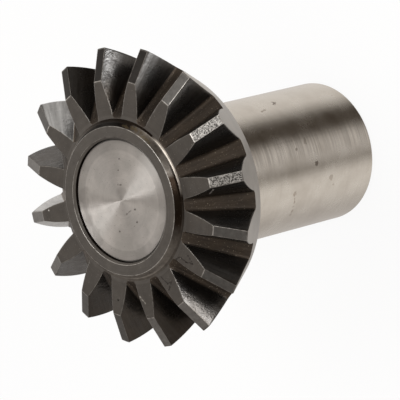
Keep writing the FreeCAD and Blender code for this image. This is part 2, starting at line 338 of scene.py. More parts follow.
@dataclass
class ToothRing:
    """Sixteen straight bevel teeth whose flanks run to one apex, with softened edges.

    Lengths are in mm and angles in degrees; names that end in rows, along and across are counts
    of grid cells. The first tooth is the one on the +Y side of the gap that is centred on +X.
    """

    teeth: int = 16
    first_tooth: int = 6
    mate_teeth: int = 10
    module: float = 6.35
    apex: float = APEX_MM
    dedendum: float = 8.56
    dedendum_angle: float = 9.8
    pressure_angle: float = 26.0
    flank_radius: float = 30.0
    pitch_gap: float = 12.64
    root_bevel: float = 0.7
    overrun: float = 4.5
    boss_foot: float = 27.356
    toe_radius: float = 41.45
    toe_height: float = TOE_MM
    tip_radius: float = 52.6
    tip_height: float = 98.15
    heel_angle: float = 29.8
    edge: float = 0.16
    root_edge: float = 0.1
    edge_limit: float = 0.3
    foot_turn: float = 0.7
    tip_chord: float = 0.5
    strip: float = 0.003
    flank_rows: int = 26
    land_rows: int = 14
    along: int = 30
    across: int = 12
    bevel_rows: int = 2
    root_rows: int = 6
    wear_and_sheen: ToothWearAndSheen = field(default_factory=ToothWearAndSheen)

    def __post_init__(self) -> None:
        """Work out the angles and radii that follow from the tooth numbers."""
        self.pitch_radius = self.module * self.teeth / 2
        self.pitch_cone = math.atan(self.teeth / self.mate_teeth)
        self.apex_drop = self.module * self.mate_teeth / 2
        self.distance = self.pitch_radius / math.sin(self.pitch_cone)
        self.heel_scale = 1 + self.overrun * math.sin(self.pitch_cone) / self.pitch_radius
        root_radius = self.pitch_radius - self.dedendum * math.cos(self.pitch_cone)
        self.toe_scale = self.boss_foot / root_radius
        self.step = 2 * math.pi / self.teeth
        self.tip_slope = (self.toe_height - self.tip_height) / (self.tip_radius - self.toe_radius)

    def flank_line(self, level: np.ndarray, scale: float) -> np.ndarray:
        """Points of the +Y flank in one section of the gap, from the foot (0) to the top (1).

        The flank is an arc whose centre lies beside the gap. It is drawn at a share of the cone
        distance, on the plane that crosses the pitch line at a right angle.

        Args:
            level: Height of each point up the flank, 0 to 1.
            scale: Share of the cone distance.

        Returns:
            The points in mm.
        """
        depth = self.root_depth(scale)
        half_gap = self.pitch_gap / 2
        back_cone = self.pitch_radius / math.cos(self.pitch_cone)
        lean = math.radians(self.pressure_angle) + math.atan(half_gap / back_cone)
        radius = self.flank_radius * scale
        centre = np.array([half_gap + self.flank_radius * math.cos(lean),
                           -self.flank_radius * math.sin(lean)]) * scale
        foot = math.asin((self.root_bevel - depth - centre[1]) / radius)
        top = math.asin((self.overrun * scale - centre[1]) / radius)
        turn = foot + (top - foot) * level
        return self.placed(centre[0] - radius * np.cos(turn),
                           centre[1] + radius * np.sin(turn), scale)

    def root_depth(self, scale: float) -> float:
        """Depth of the root below the pitch line at a share of the cone distance."""
        slope = math.tan(math.radians(self.dedendum_angle))
        return self.dedendum - self.distance * (1 - scale) * slope

    def placed(self, side: np.ndarray, rise: np.ndarray, scale: float) -> np.ndarray:
        """Put section coordinates on their plane in the gap that is centred on +X.

        Args:
            side: Distances from the gap's middle plane, in mm.
            rise: Heights above the pitch line, in mm.
            scale: Share of the cone distance.

        Returns:
            The points in mm.
        """
        out = self.pitch_radius * scale + rise * math.cos(self.pitch_cone)
        height = self.apex - self.apex_drop * scale + rise * math.sin(self.pitch_cone)
        return np.stack(np.broadcast_arrays(out, side, height), -1)

    def front_gap(self, points: np.ndarray) -> np.ndarray:
        """Height of points above the blank's front: the toe plane, then the tip cone.

        Args:
            points: Points in mm.

        Returns:
            Heights in mm, negative inside the blank.
        """
        radius = radius_of(points)
        cone = self.toe_height - (radius - self.toe_radius) * self.tip_slope
        return points[..., 2] - np.minimum(self.toe_height, cone)

    def heel_gap(self, points: np.ndarray) -> np.ndarray:
        """Height of points above the blank's heel cone."""
        drop = (self.tip_radius - radius_of(points)) / math.tan(math.radians(self.heel_angle))
        return points[..., 2] - (self.tip_height - drop)

    @staticmethod
    def crossing(start: np.ndarray, end: np.ndarray,
                 height_above: Callable[[np.ndarray], np.ndarray]) -> np.ndarray:
        """Where each line from start to end passes from below a surface to above it.

        Args:
            start: First points of the lines.
            end: Last points of the lines.
            height_above: Function that gives the height of points above the surface.

        Returns:
            The crossing points, found by halving each line again and again.
        """
        low, high = np.zeros(start.shape[:-1]), np.ones(start.shape[:-1])
        for _ in range(CROSSING_HALVINGS):
            middle = (low + high) / 2
            above = height_above(start + (end - start) * middle[..., None]) > 0
            high, low = np.where(above, middle, high), np.where(above, low, middle)
        return start + (end - start) * low[..., None]

    def ends(self, heel: np.ndarray, toe: np.ndarray) -> tuple[np.ndarray, np.ndarray]:
        """Rear and front ends, on the blank's skin, of the lines between two sections."""
        return self.crossing(heel, toe, self.heel_gap), self.crossing(heel, toe, self.front_gap)

    def level_where(self, measure: Callable[[np.ndarray, np.ndarray], float]) -> float:
        """Flank level at which a falling measure of the line's two ends reaches zero.

        Args:
            measure: Function of the rear and front end of a line.

        Returns:
            The level, 0 at the foot to 1 at the top.
        """
        low, high = 0.0, 1.0
        for _ in range(LEVEL_HALVINGS):
            middle = np.array([(low + high) / 2])
            rear, front = self.ends(self.flank_line(middle, self.heel_scale),
                                    self.flank_line(middle, self.toe_scale))
            low, high = (middle[0], high) if measure(rear[0], front[0]) > 0 else (low, middle[0])
        return low

    def gap_lines(self) -> tuple[np.ndarray, np.ndarray]:
        """Find both ends of every line of one gap, from the -Y flank's top to the +Y one's.

        Returns:
            The rear ends on the heel cone, and the front ends on the toe plane or tip cone.
        """
        toe_level = self.level_where(lambda rear, front: self.toe_radius - radius_of(front))
        top_level = self.level_where(lambda rear, front: min(
            np.linalg.norm(front - rear) - self.tip_chord, self.tip_radius - radius_of(rear)))
        levels = np.concatenate([
            np.linspace(0.0, toe_level, self.flank_rows + 1),
            np.linspace(toe_level + self.strip, top_level, self.land_rows + 1)])
        sections = []
        for scale in (self.heel_scale, self.toe_scale):
            flank = self.flank_line(levels, scale)
            depth = self.root_depth(scale)
            foot = flank[0, 1]
            root = foot - self.root_bevel
            bevel = np.linspace(0.0, 1.0, self.bevel_rows + 1)[1:]
            floor = np.linspace(root, -root, self.root_rows + 1)[1:]
            half = self.placed(foot - self.root_bevel * bevel,
                               self.root_bevel * (1 - bevel) - depth, scale)
            mirror = np.array([1.0, -1.0, 1.0])
            middle = self.placed(floor, np.full(len(floor), -depth), scale)
            sections.append(np.concatenate([flank[::-1], half, middle,
                                            (half * mirror)[::-1][1:], flank * mirror])[::-1])
        return self.ends(sections[0], sections[1])

    def build(self) -> tuple[list[Patch], list[list[np.ndarray]], np.ndarray, np.ndarray]:
        """Make the skin of the whole ring of teeth.

        Returns:
            The grids, the corner faces, and the rings of points where the teeth's skin ends on
            the toe plane and on the heel cone.
        """
        rear, front = self.gap_lines()
        flank_count = self.flank_rows + self.land_rows + 2
        count = len(rear)
        side = np.where(np.arange(count) < count / 2, -1.0, 1.0)
        is_flank = (np.arange(count) < flank_count) | (np.arange(count) >= count - flank_count)
        is_foot = np.isin(np.arange(count), (flank_count - 1, count - flank_count))
        width = np.where(is_flank, self.edge, self.root_edge)
        run = front - rear
        length = np.linalg.norm(run, axis=-1)
        width = np.minimum(width, self.edge_limit * length)
        run /= length[:, None]
        slope = math.radians(self.heel_angle)
        front_skin = self.skin_points(front, side, is_flank, is_foot, width, (-1.0, 0.0))
        rear_skin = self.skin_points(rear, side, is_flank, is_foot, width,
                                     (-math.sin(slope), -math.cos(slope)))
        share = np.linspace(0.0, 1.0, self.along + 1)[:, None, None]
        near, far = rear + run * width[:, None], front - run * width[:, None]
        rear_mid = rear + ARC_MIDDLE * ((rear_skin - rear) + (near - rear))
        front_mid = front + ARC_MIDDLE * ((front_skin - front) + (far - front))
        gap = np.concatenate([rear_skin[None], rear_mid[None], near + (far - near) * share,
                              front_mid[None], front_skin[None]]).transpose(1, 0, 2)
        region = np.full((count - 1, gap.shape[1] - 1), Region.ROOT)
        flank_cells = is_flank[:-1] & is_flank[1:]
        region[flank_cells] = Region.FLANK
        region[np.ix_(flank_cells, END_COLUMNS)] = Region.EDGE
        levels = np.abs(np.linspace(-1.0, 1.0, count))
        root_rows = (count - 2 * flank_count) / count
        levels = np.clip((levels - root_rows) / (1 - root_rows), 0.0, 1.0)
        scale = (gap[..., 0] * math.sin(self.pitch_cone)
                 + (self.apex - gap[..., 2]) * math.cos(self.pitch_cone)) / self.distance
        patches, corners, front_ring, rear_ring = [], [], [], []
        top = slice(count - flank_count, count)
        columns = np.linspace(0.0, 1.0, self.across + 1)
        for number in range(self.teeth):
            turn = number * self.step
            tooth = (self.first_tooth - number) % self.teeth or self.teeth
            patches.append(Patch(turned(gap, turn), region,
                                 self.gap_shine(tooth, is_flank, levels, scale)))
            skin, kinds, tip_middle = self.tooth_skin(front_skin[top], rear_skin[top], columns)
            placed = turned(skin, turn)
            # The heel faces get a painted highlight by bearing.
            brightening = np.select(
                [kinds == Region.LAND, kinds == Region.HEEL],
                [self.wear_and_sheen.lands.get(tooth, self.wear_and_sheen.land),
                 shine_round(placed[:-1, :-1], HEEL_HIGHLIGHT)],
                self.wear_and_sheen.toe)
            brightening[self.flank_rows] = self.wear_and_sheen.toe_edge
            if tooth in self.wear_and_sheen.grainy_lands:
                kinds[kinds == Region.LAND] = Region.RUBBED
                brightening[self.flank_rows] = self.wear_and_sheen.worn_edge
            patches.append(Patch(placed, kinds, brightening))
            corners.append([*turned(gap[-1], turn), placed[tip_middle, 0]])
            corners.append([*turned(gap[0], turn + self.step), placed[tip_middle, -1]])
            root = slice(flank_count - 1, count - flank_count + 1)
            front_ring.append(turned(np.concatenate([front_skin[root], skin[0, 1:-1]]), turn))
            rear_ring.append(turned(np.concatenate([rear_skin[root], skin[-1, 1:-1]]), turn))
        return patches, corners, np.concatenate(front_ring), np.concatenate(rear_ring)

    def gap_shine(self, tooth: int, is_flank: np.ndarray, level: np.ndarray,
                  scale: np.ndarray) -> np.ndarray:
        """Shine of one gap's grid: two flanks, the root between them and the rubbed edges.

        Args:
            tooth: Number of the tooth on the gap's +Y side.
            is_flank: True for the lines of the flanks, False for those of the root.
            level: Height of each line up its flank, 0 to 1.
            scale: Share of the cone distance of each point.

        Returns:
            The shine of each point.
        """
        wear_and_sheen, before = self.wear_and_sheen, tooth % self.teeth + 1
        lines = np.arange(len(level))[:, None]
        shine = np.where(lines < len(level) / 2,
                         wear_and_sheen.flank(before, Side.COUNTER, level, scale),
                         wear_and_sheen.flank(tooth, Side.CLOCKWISE, level, scale))
        shine[~is_flank] = wear_and_sheen.roots.get(tooth, wear_and_sheen.root)
        shine[:, END_COLUMNS] = wear_and_sheen.edge
        if (tooth, Side.CLOCKWISE) in wear_and_sheen.worn_edges:
            shine[-self.land_rows:, FRONT_COLUMNS] = wear_and_sheen.worn_edge
        if (before, Side.COUNTER) in wear_and_sheen.worn_edges:
            shine[:self.land_rows, FRONT_COLUMNS] = wear_and_sheen.worn_edge
        return shine

    def skin_points(self, ends: np.ndarray, side: np.ndarray, is_flank: np.ndarray,
                    is_foot: np.ndarray, width: np.ndarray,
                    inward: tuple[float, float]) -> np.ndarray:
        """Move the ends of the lines a little way along the blank's skin, off the sharp edge.

        Args:
            ends: Points on the edge.
            side: -1 or +1, the flank's side of the gap.
            is_flank: True for the lines of the flanks, False for those of the root.
            is_foot: True for the lowest line of each flank.
            width: Distance to move, in mm.
            inward: Radial and upward parts of the direction along the skin, away from the root.

        Returns:
            The moved points: flank lines turn towards their tooth, root lines go inward.
        """
        radius, angle = radius_of(ends), np.arctan2(ends[:, 1], ends[:, 0])
        share = np.where(is_flank, np.where(is_foot, self.foot_turn, 1.0), 0.0)
        turn = share * width * side / radius
        sink = np.where(is_foot | ~is_flank, 1.0, 0.0) * self.root_edge
        return polar(radius + sink * inward[0], angle + turn, ends[:, 2] + sink * inward[1])

    def tooth_skin(self, front: np.ndarray, rear: np.ndarray,
                   columns: np.ndarray) -> tuple[np.ndarray, np.ndarray, int]:
        """Grid over one tooth: its toe face, top land, tip edge and heel face.

        Each row keeps the radius and height of its flank point and spreads over the angle from
        one flank to the other.

        Args:
            front: Points beside the flank's front edge, from the foot to the top.
            rear: Points beside the flank's rear edge, from the foot to the top.
            columns: Shares of the way across the tooth, 0 to 1.

        Returns:
            The points, the region of each cell, and the row of the tip edge's middle.
        """
        tip = polar(self.tip_radius, np.arctan2(front[-1, 1], front[-1, 0]), self.tip_height)
        middle = tip + ARC_MIDDLE * ((front[-1] - tip) + (rear[-1] - tip))
        edge = np.concatenate([front, middle[None], rear[::-1]])
        radius = radius_of(edge)[:, None]
        angle = np.arctan2(edge[:, 1], edge[:, 0])[:, None]
        skin = polar(radius, angle + (self.step - 2 * angle) * columns, edge[:, 2:3])
        rows = len(front)
        kinds = np.full((len(edge) - 1, len(columns) - 1), Region.HEEL)
        kinds[:self.flank_rows] = Region.FACE
        kinds[self.flank_rows] = Region.EDGE
        kinds[self.flank_rows + 1:rows - 1] = Region.LAND
        kinds[rows - 1:rows + 1] = Region.EDGE
        return skin, kinds, rows


@dataclass
class HubAndBoss:
    """Turned parts of the forging: boss, disc seat, splined bore, ground hub and thrust face.

    The boss section runs from the toe plane over the boss and down the disc's seat, and the hub
    section from the lead-in cone round the hub's end up to the heel cone: radius, height and
    rounding of each corner, in mm. The shine tables give bearings in degrees and shines; the
    wall, foot, cove and edge-line shines by bearing are painted highlights, a lamp's glint round
    the boss.
    """

    boss: Section = (
        (28.32, TOE_MM, 0.0), (27.356, TOE_MM, 0.95), (26.72, 104.65, 0.01), (26.0, 106.0, 0.2),
        (22.375, 106.0, 0.15), (21.6, 105.2, 0.1), (21.6, 99.6, 0.0))
    hub: Section = (
        (19.7, 0.0, 0.0), (24.0, 0.0, 0.2), (25.0, 1.0, 0.3), (25.0, 76.95, 0.1),
        (24.6, 77.35, 0.1), (24.6, 80.35, 0.35), (42.15, 80.35, 0.2), (42.75, 80.95, 0.2),
        (43.4, 82.085, 0.0))
    hub_chord: float = 7.0
    seat_floor: float = 99.6
    lead_radius: float = 19.7
    minor_radius: float = 16.0
    major_radius: float = 19.0
    groove_half: float = 3.0
    splines: int = 8
    lead_angle: float = 60.0
    bore_rows: int = 12
    groove_cells: int = 12
    wall_cells: int = 4
    land_cells: int = 6
    face_shine: float = 0.105
    edge_shine: float = 0.2
    edge_highlight_share: float = 0.5
    wall_highlight: Table = (
        (15, 0.4), (30, 0.0), (60, 0.0), (230, 0.5), (300, 0.0), (335, 0.0), (350, 0.4))
    foot_highlight_share: float = 0.8
    cove_glint: Table = (
        (0, 0.7), (10, 0.0), (60, 0.0), (120, 0.15), (250, 0.15), (320, 0.0), (340, 0.7))
    cove_top: float = 103.62
    wall_foot: float = 103.9
    wall_fade: float = 0.8
    heel_foot: float = 80.9

    def spline_ring(self) -> np.ndarray:
        """Draw the splined bore: groove bottom, straight side, land, and the mirror of it.

        Returns:
            A closed ring of points at height 0, in mm, that starts in a groove on +X.
        """
        floor_end = math.asin(self.groove_half / self.major_radius)
        land_start = math.asin(self.groove_half / self.minor_radius)
        half_period = math.pi / self.splines
        floor = np.linspace(0.0, floor_end, self.groove_cells + 1)
        bottom, top = (math.sqrt(radius ** 2 - self.groove_half ** 2)
                       for radius in (self.major_radius, self.minor_radius))
        out = np.linspace(bottom, top, self.wall_cells + 1)[1:]
        wall = np.stack([out, np.full(len(out), self.groove_half)], -1)
        land = np.linspace(land_start, half_period, self.land_cells + 1)[1:]
        half = np.concatenate([
            np.stack([np.cos(floor), np.sin(floor)], -1) * self.major_radius, wall,
            np.stack([np.cos(land), np.sin(land)], -1) * self.minor_radius])
        period = np.concatenate([(half * [1.0, -1.0])[::-1][:-1], half[:-1]])
        flat = np.pad(period, ((0, 0), (0, 1)))
        ring = np.concatenate([turned(flat, k * 2 * half_period) for k in range(self.splines)])
        return np.roll(ring, -(self.groove_cells + self.wall_cells + self.land_cells), axis=0)

    def build(self, front_ring: np.ndarray, rear_ring: np.ndarray, lead: int) -> list[Patch]:
        """Carry the teeth's inner ring over the boss, down the bore, and up the hub.

        Args:
            front_ring: Ring of points on the toe plane.
            rear_ring: Ring of points on the heel cone.
            lead: Number of ring points before the one that lies on +X.

        Returns:
            Grids of closed rings, from the toe plane to the heel cone.
        """
        front_angle = np.arctan2(front_ring[:, 1], front_ring[:, 0])
        rear_angle = np.arctan2(rear_ring[:, 1], rear_ring[:, 0])
        spline = np.roll(self.spline_ring(), lead, axis=0)
        over = [front_ring] + [polar(r, front_angle, z) for r, z in softened(self.boss)]
        slope = math.tan(math.radians(self.lead_angle))
        lead_height = (self.lead_radius - radius_of(spline)) / slope
        down = [spline + [0.0, 0.0, 1.0]
                * (self.seat_floor + (lead_height - self.seat_floor) * share)[:, None]
                for share in np.linspace(0.0, 1.0, self.bore_rows + 1)]
        spline_angle = np.arctan2(spline[:, 1], spline[:, 0])
        hub = divided(softened(self.hub), self.hub_chord)
        up = [polar(r, angle, z) for (r, z), angle in zip(
            hub, [spline_angle] + [rear_angle] * (len(hub) - 1))]
        rows = np.array(over + down + up + [rear_ring])
        kinds = self.regions(radius_of(rows).mean(1), rows[..., 2].mean(1))[:, None]
        # Painted highlights by bearing: a lamp's glint on the boss wall, its foot, the cove and the
        # edge line.
        wall = shine_round(front_ring, self.wall_highlight)
        foot = self.foot_highlight_share * wall
        cove = shine_round(front_ring, self.cove_glint)
        height = (rows[:-1, :, 2] + rows[1:, :, 2]) / 2
        share = np.clip((height - self.wall_foot) / self.wall_fade, 0.0, 1.0)
        is_boss = kinds == Region.BOSS
        brightening = np.select(
            [is_boss & (height < self.cove_top), is_boss, kinds == Region.EDGE,
             (kinds == Region.HEEL) & (height > self.heel_foot)],
            [cove, foot + (wall - foot) * share, self.edge_shine + self.edge_highlight_share * wall,
             shine_round(rows[:-1], HEEL_HIGHLIGHT)], self.face_shine * (kinds != Region.HEEL))
        return [Patch(rows, kinds, brightening, closed=True)]

    @staticmethod
    def regions(radius: np.ndarray, height: np.ndarray) -> np.ndarray:
        """Choose the region of each strip between two rings.

        Args:
            radius: Mean radius of each ring.
            height: Mean height of each ring.

        Returns:
            One region for each pair of neighbouring rings.
        """
        r, z = (radius[:-1] + radius[1:]) / 2, (height[:-1] + height[1:]) / 2
        inside = [(r > low) & (r < high) & (z > above) for _, low, high, above in STRIP_REGIONS]
        return np.select(inside, [row[0] for row in STRIP_REGIONS], Region.HEEL)


@dataclass
class ClosingDisc:
    """Turned disc pressed into the front of the bore.

    Its section runs from the dimple in its middle round to the back: radius, height and rounding
    of each corner, in mm.
    """

    section: Section = (
        (0.0, 104.36, 0.0), (0.42, 104.585, 0.15), (6.0, DISC_MM, 0.5), (20.95, 104.59, 0.05),
        (21.53, 104.0, 0.12), (21.58, 100.2, 0.0), (21.0, 99.65, 0.0), (0.0, 99.65, 0.0))
    chord: float = 1.6
    cells: int = 288

    def build(self) -> bpy.types.Object:
        """Turn the section round the axis.

        Returns:
            The disc, without its material.
        """
        angle = np.linspace(0.0, 2 * math.pi, self.cells + 1)[:-1]
        section = divided(softened(self.section), self.chord)
        rows = np.array([polar(r, angle, z) for r, z in section])
        whole = Patch(rows, np.zeros((1, 1)), np.zeros(1), closed=True)
        return mesh_object("closing_disc", [whole], [])


def linear(code: str) -> tuple[float, float, float, float]:
    """Turn an sRGB hex code into linear red, green, blue and full alpha, by the sRGB curve."""
    parts = [int(code[k:k + 2], 16) / 255 for k in (0, 2, 4)]
    return (*(c / 12.92 if c <= 0.04045 else ((c + 0.055) / 1.055) ** 2.4 for c in parts), 1.0)


def per_mm(size: float) -> float:
    """Scale of a pattern whose marks are the given size in mm."""
    return 1.0 / (size * METRES_PER_MM)


def add(tree: bpy.types.NodeTree, kind: str, settings: dict | None = None,
        inputs: dict | None = None) -> bpy.types.Node:
    """Add a shader node.

    Args:
        tree: The node tree that gets it.
        kind: Blender's name for the node type.
        settings: Properties to set on the node.
        inputs: Values or output sockets for its inputs, by name or number.

    Returns:
        The new node.
    """
    node = tree.nodes.new(kind)
    for name, value in (settings or {}).items():
        setattr(node, name, value)
    for name, value in (inputs or {}).items():
        if isinstance(value, Socket):
            tree.links.new(value, node.inputs[name])
        else:
            node.inputs[name].default_value = value
    return node


@dataclass(frozen=True)
class Shade:
    """A node tree, with short calls for the nodes that are needed most."""

    tree: bpy.types.NodeTree

    @classmethod
    def of(cls, block: bpy.types.Material | bpy.types.World) -> "Shade":
        """Start the node tree of a material or world afresh.

        Args:
            block: The material or world.

        Returns:
            Its empty node tree.
        """
        block.use_nodes = True
        block.node_tree.nodes.clear()
        return cls(block.node_tree)

    def calc(self, operation: str, *values: Value, clamp: bool = False) -> Socket:
        """Result of a math node, held between 0 and 1 with clamp."""
        return add(self.tree, "ShaderNodeMath", {"operation": operation, "use_clamp": clamp},
                   dict(enumerate(values))).outputs[0]

    def vector(self, operation: str, *values: Value, scale: Value | None = None) -> Socket:
        """Result of a vector math node.

        Args:
            operation: Blender's name for the operation.
            values: The vectors.
            scale: Factor of the operation SCALE.

        Returns:
            A number for a length, a distance or a dot product, and otherwise a vector.
        """
        inputs = dict(enumerate(values)) | ({} if scale is None else {"Scale": scale})
        node = add(self.tree, "ShaderNodeVectorMath", {"operation": operation}, inputs)
        return node.outputs["Value" if operation in NUMBER_RESULTS else "Vector"]

    def noise(self, place: Socket, size: float, detail: float = 3.0, **more: float) -> Socket:
        """Noise from 0 to 1 whose marks are the given size in mm."""
        return add(self.tree, "ShaderNodeTexNoise", inputs={
            "Vector": place, "Scale": per_mm(size), "Detail": detail, **more}).outputs["Fac"]

    def ranged(self, value: Socket, source: tuple[float, float],
               target: tuple[float, float] = (0.0, 1.0), blend: str = "LINEAR") -> Socket:
        """Carry a value from one range over to another, and hold it at its ends.

        Args:
            value: The value.
            source: The range it comes from.
            target: The range it goes to.
            blend: Blender's name for the way between the ends.

        Returns:
            The new value.
        """
        return add(self.tree, "ShaderNodeMapRange", {"interpolation_type": blend}, {
            "Value": value, "From Min": source[0], "From Max": source[1],
            "To Min": target[0], "To Max": target[1]}).outputs["Result"]

    def mixed(self, share: Socket, first: Value, second: Value) -> Socket:
        """Blend of two colours: inputs 6 and 7 and output 2 are a mix node's colour sockets."""
        return add(self.tree, "ShaderNodeMix", {"data_type": "RGBA"}, {
            "Factor": share, 6: first, 7: second}).outputs[2]

    def bump(self, height: Socket, strength: float, depth: float,
             under: Socket | None = None) -> Socket:
        """Lay bumps over the bumps under them.

        Args:
            height: Height of the surface, 0 to 1.
            strength: Strength of the bumps.
            depth: Their depth in metres.
            under: Normals of the bumps under them.

        Returns:
            The normals.
        """
        inputs = {"Height": height, "Strength": strength, "Distance": depth}
        return add(self.tree, "ShaderNodeBump", inputs=inputs | (
            {} if under is None else {"Normal": under})).outputs["Normal"]


@dataclass(frozen=True)
class Mark:
    """A scratch, nick or stain along a straight line between two points, in mm."""

    start: Point
    end: Point
    width: float
    colour: str
    strength: float = 0.8
    wobble: float = 0.5

    def laid(self, shade: Shade, place: Socket, colour: Socket) -> Socket:
        """Lay the mark over a colour.

        It fades with the distance from its line, |p - a - d * clamp(dot(p - a, d) / dot(d, d))|,
        where a is the start and d runs from the start to the end. Noise shakes its outline.

        Args:
            shade: The material's nodes.
            place: Object coordinates.
            colour: Colour under the mark.

        Returns:
            The colour.
        """
        start = Vector(self.start) * METRES_PER_MM
        course = Vector(self.end) * METRES_PER_MM - start
        width = self.width * METRES_PER_MM
        swing = self.wobble * width
        shaken = shade.noise(place, MARK_NOISE * self.width)
        out = shade.vector("SUBTRACT", place, start[:])
        dot = shade.vector("DOT_PRODUCT", out, course[:])
        share = shade.calc("DIVIDE", dot, max(course.length_squared, DOT_LENGTH), clamp=True)
        foot = shade.vector("SCALE", course[:], scale=share)
        gap = shade.vector("DISTANCE", out, foot)
        reach = shade.calc("ADD", gap, shade.ranged(shaken, MARK_SPAN, (-swing, swing)))
        mask = shade.ranged(reach, (MARK_CORE * width, width), (self.strength, 0.0), "SMOOTHSTEP")
        return shade.mixed(mask, colour, linear(self.colour))


def strokes(path: Table, height: float, width: float, colour: str,
            strength: float = 0.8, wobble: float = 0.5) -> tuple[Mark, ...]:
    """Make marks from point to point at one height.

    Args:
        path: The points' X and Y in mm; a single point gives a dot.
        height: Their height in mm.
        width: Width of the marks in mm.
        colour: Their sRGB hex code.
        strength: How much they hide the colour under them, 0 to 1.
        wobble: How far noise shakes their outline, as a share of the width.

    Returns:
        The marks, in the order of the path.
    """
    points = [(x, y, height) for x, y in path]
    return tuple(Mark(start, end, width, colour, strength, wobble)
                 for start, end in zip(points, points[1:] or points))


@dataclass(frozen=True)
class SteelFinish:
    """A steel surface with blotches, grain and tool marks; names that end in _mm are sizes.

    Turning and grinding lines run round the axis; planing lines run towards the apex of the
    teeth. Where the piece's shine is high, the surface is brightened to the bright colour: real
    rubbing in some places, painted highlights in others. The bands give a radius in mm and the
    tone from there outwards.
    """

    name: str
    dark: str
    light: str
    bright: str = "d8d4ce"
    bright_rough: float = 0.36
    shine_mm: float = 0.0
    shine_spread: float = 0.3
    shine_softness: float = 0.18
    shine_lines: bool = False
    metallic: float = 1.0
    roughness: float = 0.35
    rough_spread: float = 0.1
    blotch_mm: float = 8.0
    grain_mm: float = 0.5
    grain_bump: float = 0.1
    line_mm: float = 0.0
    line_tone: float = 0.1
    line_bump: float = 0.0
    line_run: float = 40.0
    planed: bool = False
    patch_at: float = 0.0
    patch_tone: float = 0.0
    bands: Table = ()
    wave_mm: float = 0.0
    wave_bump: float = 0.0
    speck: str = "8a857e"
    speck_mm: float = 0.4
    speck_share: float = 0.0
    anisotropy: float = 0.0
    marks: tuple[Mark, ...] = ()

    def build(self) -> bpy.types.Material:
        """Make the material from its fields.

        Returns:
            The new material.
        """
        material = bpy.data.materials.new(self.name)
        shade = Shade.of(material)
        tree = shade.tree
        place = add(tree, "ShaderNodeTexCoord").outputs["Object"]
        split = add(tree, "ShaderNodeSeparateXYZ", inputs={0: place}).outputs
        flat = add(tree, "ShaderNodeCombineXYZ", inputs={0: split[0], 1: split[1]}).outputs[0]
        blotch = shade.noise(place, self.blotch_mm, detail=6.0, Roughness=0.6)
        tone = shade.ranged(blotch, BLOTCH_SPAN)
        colour = shade.mixed(tone, linear(self.dark), linear(self.light))
        half = self.rough_spread / 2
        rough = shade.ranged(blotch, NOISE_SPAN, (self.roughness - half, self.roughness + half))
        along = self.line_path(shade, place, flat, split[2])
        if self.shine_mm:
            colour, rough = self.brighten(shade, along if self.shine_lines else place, colour, rough)
        bump = shade.bump(shade.noise(place, self.grain_mm), self.grain_bump, GRAIN_DEPTH)
        if self.line_mm:
            lines = shade.noise(along, self.line_mm, detail=2.0)
            colour = self.lined(shade, split, colour, lines)
            bump = shade.bump(lines, self.line_bump, GRAIN_DEPTH, bump)
        if self.bands:
            colour = self.banded(shade, flat, colour)
        if self.wave_mm:
            waves = shade.noise(place, self.wave_mm, Distortion=0.6)
            bump = shade.bump(waves, self.wave_bump, WAVE_DEPTH, bump)
        if self.speck_share:
            cells = shade.noise(place, self.speck_mm, detail=1.0)
            least = 1 - self.speck_share
            fleck = shade.ranged(cells, (least, least + SPECK_FADE))
            colour = shade.mixed(fleck, colour, linear(self.speck))
        for mark in self.marks:
            colour = mark.laid(shade, place, colour)
        shader = add(tree, "ShaderNodeBsdfPrincipled", inputs={
            "Base Color": colour, "Metallic": self.metallic, "Roughness": rough, "Normal": bump})
        if self.anisotropy:
            shader.inputs["Anisotropic"].default_value = self.anisotropy
            shader.inputs["Anisotropic Rotation"].default_value = QUARTER_TURN
            round_axis = shade.vector("CROSS_PRODUCT", (0.0, 0.0, 1.0), flat)
            tree.links.new(round_axis, shader.inputs["Tangent"])
        add(tree, "ShaderNodeOutputMaterial", inputs={0: shader.outputs[0]})
        return material

    def line_path(self, shade: Shade, place: Socket, flat: Socket, height: Socket) -> Socket:
        """Make coordinates that hardly change along the tool marks; noise on them makes lines.

        Args:
            shade: The material's nodes.
            place: Object coordinates.
            flat: Object coordinates without their height.
            height: Their height.

        Returns:
            The coordinates.
        """
        if self.planed:
            out = shade.vector("SUBTRACT", place, (0.0, 0.0, APEX_MM * METRES_PER_MM))
            course = shade.vector("NORMALIZE", out)
            path = shade.vector("SCALE", course, scale=CONE_MM * METRES_PER_MM)
        else:
            radius = shade.vector("LENGTH", flat)
            path = add(shade.tree, "ShaderNodeCombineXYZ", inputs={0: radius, 1: height}).outputs[0]
        drift = shade.vector("SCALE", place, scale=1 / self.line_run)
        return shade.vector("ADD", path, drift)

    def brighten(self, shade: Shade, along: Socket, colour: Socket,
            rough: Socket) -> tuple[Socket, Socket]:
        """Brighten the surface where the piece's shine attribute is high, broken up by noise.

        Args:
            shade: The material's nodes.
            along: Coordinates of the noise.
            colour: Colour of the surface where it isn't brightened.
            rough: Its roughness.

        Returns:
            The colour and the roughness.
        """
        amount = add(shade.tree, "ShaderNodeAttribute", {"attribute_name": "shine"}).outputs["Fac"]
        spots = shade.noise(along, self.shine_mm, detail=4.0, Roughness=0.6)
        spread = shade.ranged(spots, (0.5 - self.shine_softness, 0.5 + self.shine_softness),
                              (1 - self.shine_spread, 1 + self.shine_spread))
        share = shade.calc("MULTIPLY", amount, spread)
        rough = add(shade.tree, "ShaderNodeMix", {"data_type": "FLOAT"}, {
            0: share, 2: rough, 3: self.bright_rough}).outputs[0]
        return shade.mixed(share, colour, linear(self.bright)), rough

